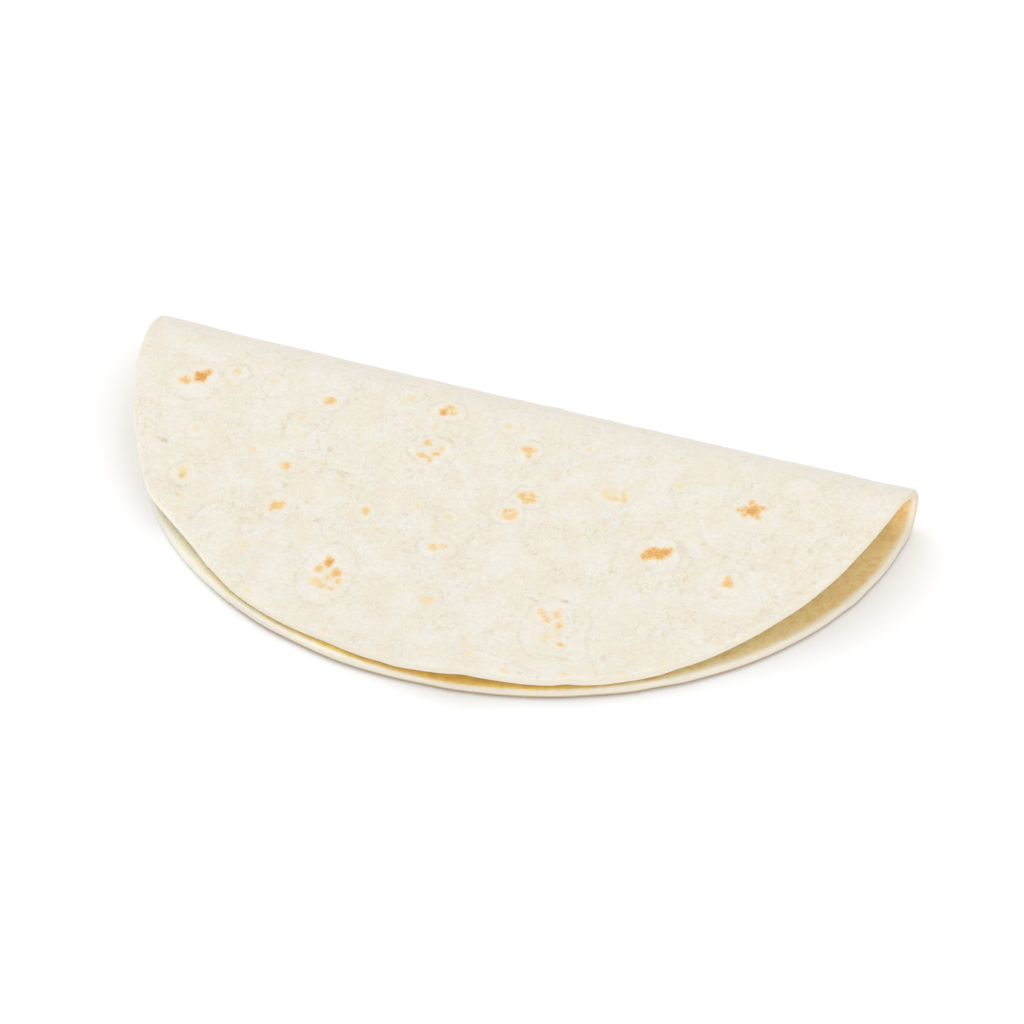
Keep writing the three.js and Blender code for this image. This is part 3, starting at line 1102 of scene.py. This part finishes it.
    # the finest relief, too fine for the mesh: how many millimetres each mask adds
    height = 0.0
    for mask, rise in (
        (dough["Grain"], -0.035),
        (dough["Stipple"], -0.04),
        (dough["Warmth"], -0.03),
        (speck, -0.12),
        (rings["Outline"], -0.04),
        (toast["Crust"], -0.06),
    ):
        height = calc(tree, "MULTIPLY_ADD", mask, rise, height)
    bump = add(tree, "ShaderNodeBump", {"Height": height, "Distance": MM, "Strength": 0.8})
    tree.links.new(bump.outputs[0], shader.inputs["Normal"])

    # hardly any gloss, and light goes a little way through the crumb, red the furthest
    shader.inputs["Specular IOR Level"].default_value = 0.25
    shader.inputs["Subsurface Weight"].default_value = 0.5
    shader.inputs["Subsurface Radius"].default_value = (1.0, 0.82, 0.55)
    shader.inputs["Subsurface Scale"].default_value = 1.6 * MM
    return material


def floor_material():
    """A plain, matt, almost white surface with the slightest variation in its roughness."""
    material = bpy.data.materials.new("white_table")
    material.use_nodes = True
    tree = material.node_tree
    shader = tree.nodes["Principled BSDF"]
    place = add(tree, "ShaderNodeTexCoord").outputs["Object"]
    grain = add(tree, "ShaderNodeTexNoise", {"Vector": place, "Scale": 60.0}).outputs[0]
    tree.links.new(calc(tree, "MULTIPLY_ADD", grain, 0.04, 0.9), shader.inputs["Roughness"])
    shader.inputs["Base Color"].default_value = FLOOR_WHITE
    shader.inputs["Specular IOR Level"].default_value = 0.0
    return material


# ======================================================================================
# the stage
# ======================================================================================

FLOOR_SIDE = 6.0
FLOOR_HEIGHT = -0.1 * MM  # at the bread's own height it would show through the flat underside
FLOOR_WHITE = (0.94, 0.948, 0.962, 1.0)
SKY_COLOUR = (1.0, 1.0, 1.0, 1.0)
SKY_STRENGTH = 0.87
LAMP_COLOUR = (1.0, 0.99, 0.975)
# each soft lamp: (name, strength, softness in degrees across, azimuth, elevation), its azimuth
# counted in degrees from the front towards the right
LAMPS = [
    ("soft_lamp", 0.66, 60.0, -150.0, 55.0),
    ("fill_lamp", 0.85, 60.0, 30.0, 20.0),
]


def direction(azimuth, elevation):
    """The unit vector towards a place seen at these angles: azimuth 0 is in front, at -Y."""
    a = math.radians(azimuth)
    e = math.radians(elevation)
    return Vector((math.sin(a) * math.cos(e), -math.cos(a) * math.cos(e), math.sin(e)))


def make_camera(shift):
    """A camera on the line from the middle of the fold at the photograph's angle, moved sideways
    and up in its own axes, with no turn away from that line."""
    back = direction(CAMERA_AZIMUTH, CAMERA_ELEVATION)
    right = direction(CAMERA_AZIMUTH + 90, 0)
    up = back.cross(right)
    place = back * CAMERA_DISTANCE + right * CAMERA_ACROSS + up * CAMERA_UP + Vector(shift)
    data = bpy.data.cameras.new("photo_camera")
    data.lens = CAMERA_LENS
    data.sensor_width = CAMERA_SENSOR
    data.clip_start = 0.01
    camera = bpy.data.objects.new("photo_camera", data)
    turn = Matrix((right, up, back)).transposed().to_4x4()
    camera.matrix_world = Matrix.Translation(place * MM) @ turn
    bpy.context.scene.collection.objects.link(camera)
    bpy.context.scene.camera = camera


def make_floor():
    """A wide square just under the bread."""
    half = FLOOR_SIDE / 2
    corners = [(-half, -half), (half, -half), (half, half), (-half, half)]
    mesh = bpy.data.meshes.new("white_floor")
    mesh.from_pydata([(x, y, FLOOR_HEIGHT) for x, y in corners], [], [(0, 1, 2, 3)])
    mesh.materials.append(floor_material())
    floor = bpy.data.objects.new("white_floor", mesh)
    bpy.context.scene.collection.objects.link(floor)


def make_light():
    """An even white sky, a very soft lamp from behind on the left and a low one in front."""
    world = bpy.data.worlds.new("white_sky")
    world.use_nodes = True
    sky = world.node_tree.nodes["Background"]
    sky.inputs["Color"].default_value = SKY_COLOUR
    sky.inputs["Strength"].default_value = SKY_STRENGTH
    bpy.context.scene.world = world
    for name, strength, softness, azimuth, elevation in LAMPS:
        lamp_data = bpy.data.lights.new(name, "SUN")
        lamp_data.color = LAMP_COLOUR
        lamp_data.energy = strength
        lamp_data.angle = math.radians(softness)
        lamp = bpy.data.objects.new(name, lamp_data)
        lamp.rotation_euler = direction(azimuth, elevation).to_track_quat("Z", "Y").to_euler()
        bpy.context.scene.collection.objects.link(lamp)


bread, fold_place = baked_tortilla()
bread.data.materials.append(bread_material())
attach(bread, "root")
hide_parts("tortilla")

make_camera(fold_place)
make_floor()
make_light()
bpy.context.scene.view_settings.view_transform = "Standard"
